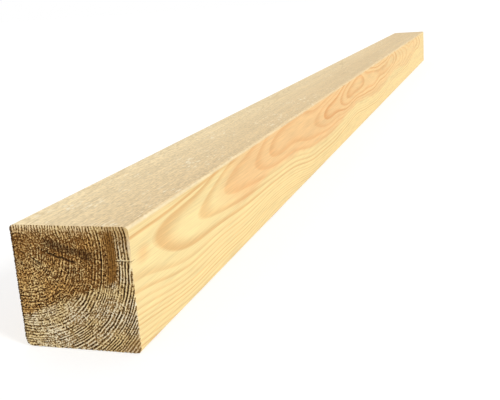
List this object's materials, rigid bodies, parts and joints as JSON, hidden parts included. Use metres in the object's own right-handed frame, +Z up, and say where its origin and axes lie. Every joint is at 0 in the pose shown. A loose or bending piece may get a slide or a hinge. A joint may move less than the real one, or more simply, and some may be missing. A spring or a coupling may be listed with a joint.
{
  "type": "square timber",
  "caption": "Straight length of square planed softwood with eased long edges and rough sawn ends, cracked a little round the pith at one end.",
  "frame": {"origin": "middle of the underside, half way along the timber, on the surface that it lies on", "axes": "+Y along the timber, from the near end with the season checks to the plain far end; +Z up; +X to the right, seen from the near end"},
  "size_m": [0.09, 2.1, 0.09],
  "materials": {
    "softwood": "planed, with weathered sawn ends"
  },
  "bodies": {
    "root": {"timber": "softwood"}
  },
  "joints": []
}
